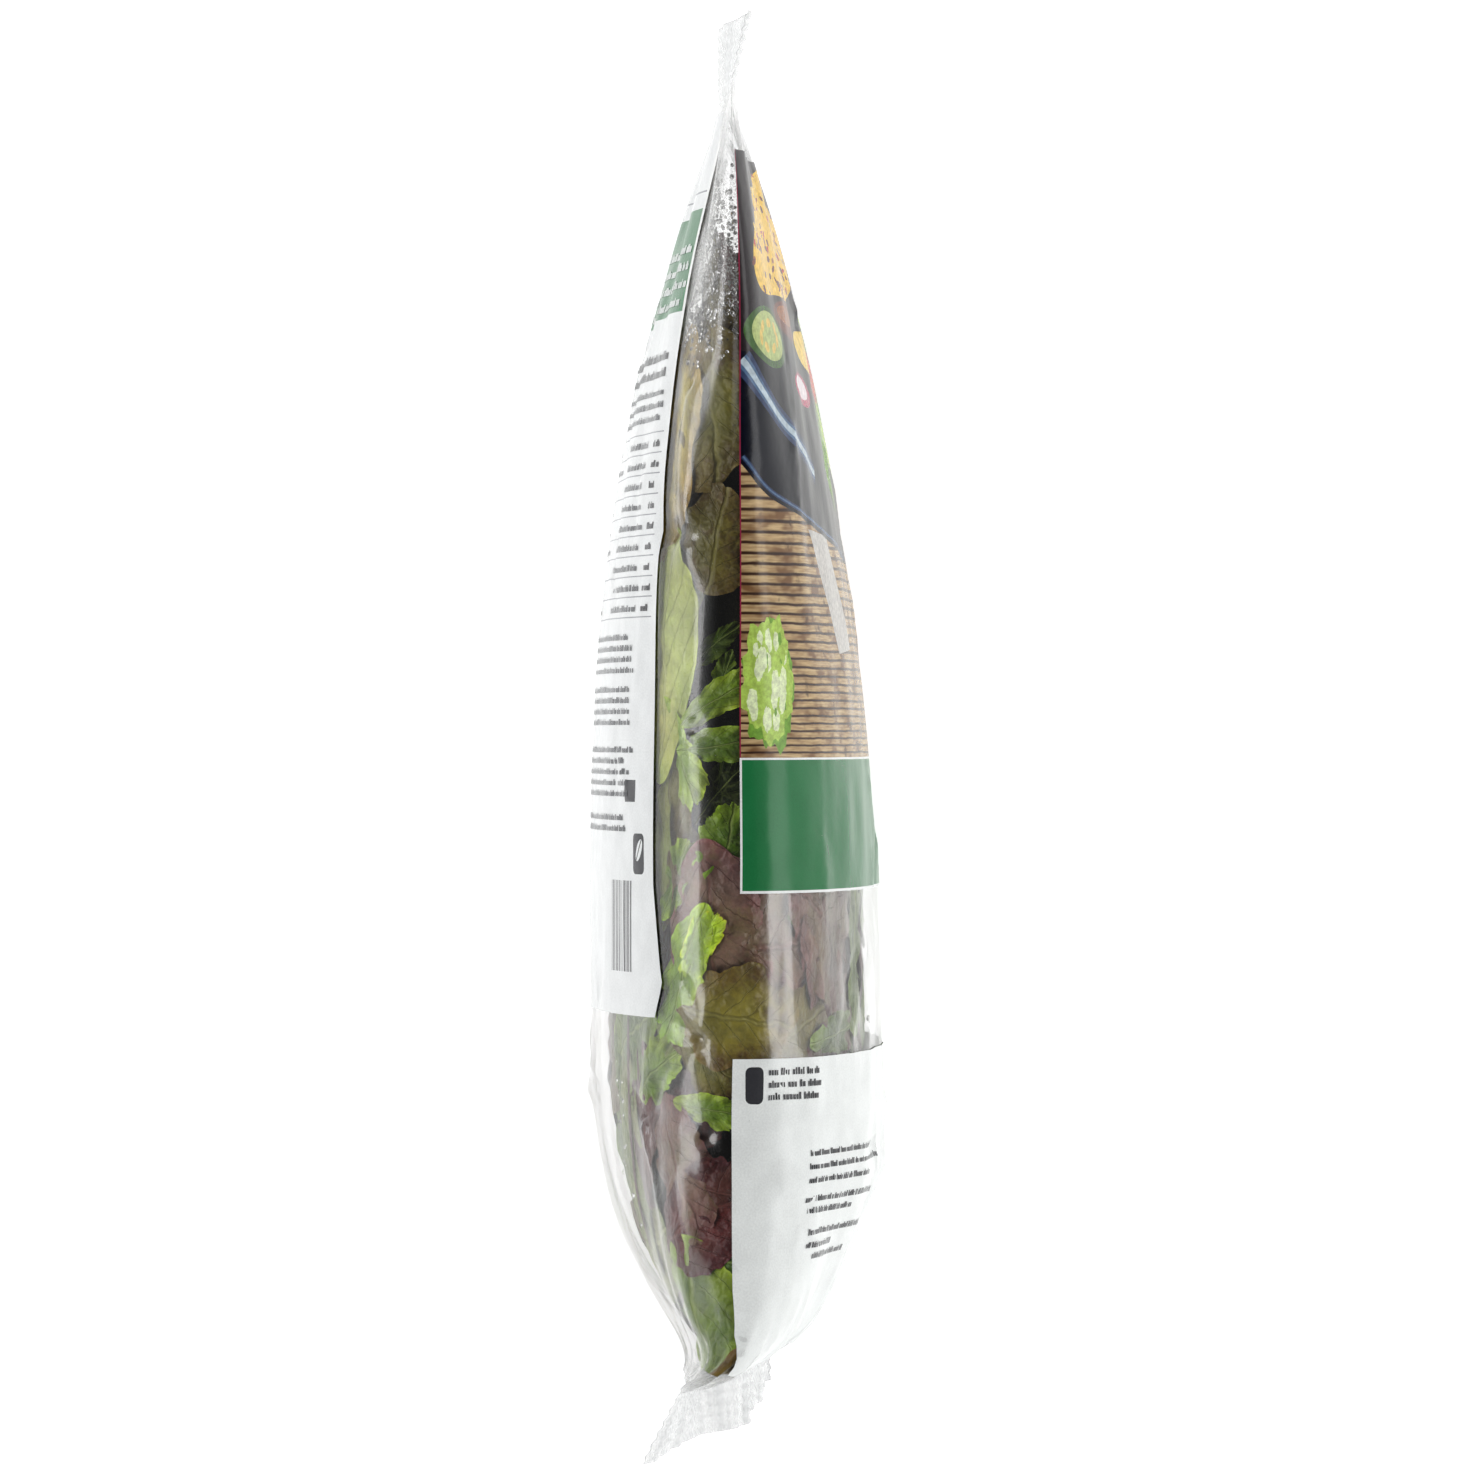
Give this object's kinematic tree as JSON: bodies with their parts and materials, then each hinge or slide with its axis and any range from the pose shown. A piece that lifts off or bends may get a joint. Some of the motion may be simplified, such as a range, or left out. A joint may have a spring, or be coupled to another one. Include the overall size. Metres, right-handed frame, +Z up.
{
  "type": "bag of salad leaves",
  "caption": "Sealed clear pillow bag of mixed salad leaves with printed panels, lying on its long lower edge.",
  "frame": {"origin": "middle of the bag's box in X and Y, on the ground that the bag lies on", "axes": "+X along the bag to its top seal, -Y out of the printed front, +Z up through the edge that shows"},
  "size_m": [0.27, 0.0588, 0.1879],
  "materials": {
    "film": "clear glossy plastic film",
    "print": "ink on the inside of clear film",
    "green_leaf": "fresh satin leaf",
    "red_leaf": "fresh satin leaf",
    "water": "clear droplets"
  },
  "bodies": {
    "root": {"bag": "film"}
  },
  "joints": []
}
